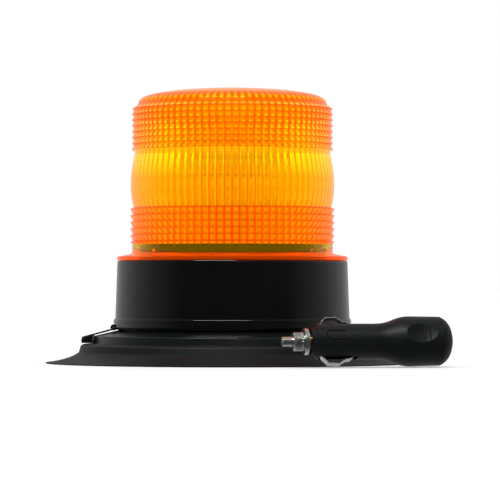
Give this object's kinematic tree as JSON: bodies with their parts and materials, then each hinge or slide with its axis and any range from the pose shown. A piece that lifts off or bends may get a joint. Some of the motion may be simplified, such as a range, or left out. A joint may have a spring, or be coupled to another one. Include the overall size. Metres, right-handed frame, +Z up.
{
  "type": "magnetic mount amber warning beacon",
  "caption": "Amber ribbed-lens LED warning beacon on a flared rubber magnetic suction mount, with side release clips and a vehicle lighter plug.",
  "frame": {"origin": "centre of the magnet face, on the surface the beacon stands on", "axes": "+Z up along the beacon's axis, -Y towards the front, +X to the right; the side clips lie on X"},
  "size_m": [0.2418, 0.2395, 0.1671],
  "materials": {
    "lens_amber": "clear amber polycarbonate, glossy",
    "drum_black": "glossy moulded black",
    "mount_black": "satin moulded black",
    "skirt_rubber": "satin black rubber",
    "seal_rubber": "matt black rubber",
    "zinc_steel": "zinc plated",
    "black_steel": "black coated spring steel",
    "ferrite": "sintered ferrite",
    "tower_white": "white moulded",
    "circuit_board": "green solder mask",
    "white_board": "white solder mask",
    "led_yellow": "phosphor under clear silicone",
    "capacitor_can": "drawn can",
    "coil_copper": "enamelled copper on ferrite",
    "chip_black": "moulded package",
    "terminal_green": "moulded",
    "wire_red": "wire insulation",
    "gland_plastic": "moulded nylon",
    "plug_plastic": "fine matt moulded black",
    "nickel": "nickel plated",
    "brass": "plain brass",
    "fuse_glass": "clear glass tube"
  },
  "bodies": {
    "base": {"lens_gasket": "seal_rubber", "base_housing": "drum_black", "base_cover": "mount_black", "cover_screws": "zinc_steel", "mount_ring": "mount_black", "suction_cup": "skirt_rubber", "magnet_pot": "zinc_steel", "magnet_ring": "ferrite", "pole_piece": "zinc_steel", "face_pad": "seal_rubber", "centre_bolt": "zinc_steel", "centre_nut": "zinc_steel", "clip_pins": "zinc_steel", "led_tower": "tower_white", "tower_cap": "tower_white", "led_board": "white_board", "leds": "led_yellow", "tower_screws": "zinc_steel", "led_wires": "wire_red", "driver_board": "circuit_board", "board_screws": "zinc_steel", "capacitors": "capacitor_can", "inductor": "coil_copper", "driver_chips": "chip_black", "terminal_block": "terminal_green", "gland_body": "gland_plastic", "gland_locknut": "gland_plastic", "gland_nut": "gland_plastic", "gland_bush": "seal_rubber"},
    "lens": {"lens": "lens_amber"},
    "clip_right": {"clip_strap_right": "black_steel", "clip_toe_right": "mount_black"},
    "clip_left": {"clip_strap_left": "black_steel", "clip_toe_left": "mount_black"},
    "plug": {"plug_shell_front": "plug_plastic", "plug_shell_rear": "plug_plastic", "nose_sleeve": "brass", "pin_spring": "zinc_steel", "spring_seat": "brass", "plug_screws": "zinc_steel", "plug_bush": "seal_rubber"},
    "collar": {"nose_collar": "nickel"},
    "cap": {"nose_cap": "nickel"},
    "pin": {"contact_pin": "nickel", "fuse_glass": "fuse_glass", "fuse_caps": "nickel"},
    "contact_top": {"side_contact_top": "nickel"},
    "contact_bottom": {"side_contact_bottom": "nickel"}
  },
  "joints": [
    {"name": "lens_twist", "type": "hinge", "parent": "base", "child": "lens", "pos_m": [0, 0, 0.0628], "axis": [0, 0, 1], "range_deg": [0, 20]},
    {"name": "clip_right_lift", "type": "hinge", "parent": "base", "child": "clip_right", "pos_m": [0.0719, 0, 0.0219], "axis": [0, -1, 0], "range_deg": [0, 35]},
    {"name": "clip_left_lift", "type": "hinge", "parent": "base", "child": "clip_left", "pos_m": [-0.0719, 0, 0.0219], "axis": [0, 1, 0], "range_deg": [0, 35]},
    {"name": "plug_lift", "type": "slide", "parent": "base", "child": "plug", "axis": [0, 0, 1], "range_m": [0, 0.1]},
    {"name": "nose_out", "type": "slide", "parent": "plug", "child": "collar", "axis": [-0.9744, -0.225, 0], "range_m": [0, 0.00376]},
    {"name": "cap_turn", "type": "hinge", "parent": "collar", "child": "cap", "pos_m": [0.03794, -0.11825, 0.0149], "axis": [-0.9744, -0.225, 0], "range_deg": [0, 1080]},
    {"name": "pin_press", "type": "slide", "parent": "collar", "child": "pin", "axis": [0.9744, 0.225, 0], "range_m": [0, 0.003], "stiffness_N_per_m": 400, "springref_m": -0.004},
    {"name": "contact_top_press", "type": "hinge", "parent": "plug", "child": "contact_top", "pos_m": [0.04953, -0.11242, 0.0225], "axis": [-0.2086, 0.9034, -0.3746], "range_deg": [0, 8], "stiffness_Nm_per_rad": 0.004, "springref_deg": -11.46},
    {"name": "contact_bottom_press", "type": "hinge", "parent": "plug", "child": "contact_bottom", "pos_m": [0.05091, -0.11841, 0.0073], "axis": [0.2086, -0.9034, 0.3746], "range_deg": [0, 8], "stiffness_Nm_per_rad": 0.004, "springref_deg": -11.46}
  ],
  "couplings": [
    {"joint": "nose_out", "follows": "cap_turn", "m_per_rad": 0.00019894}
  ]
}
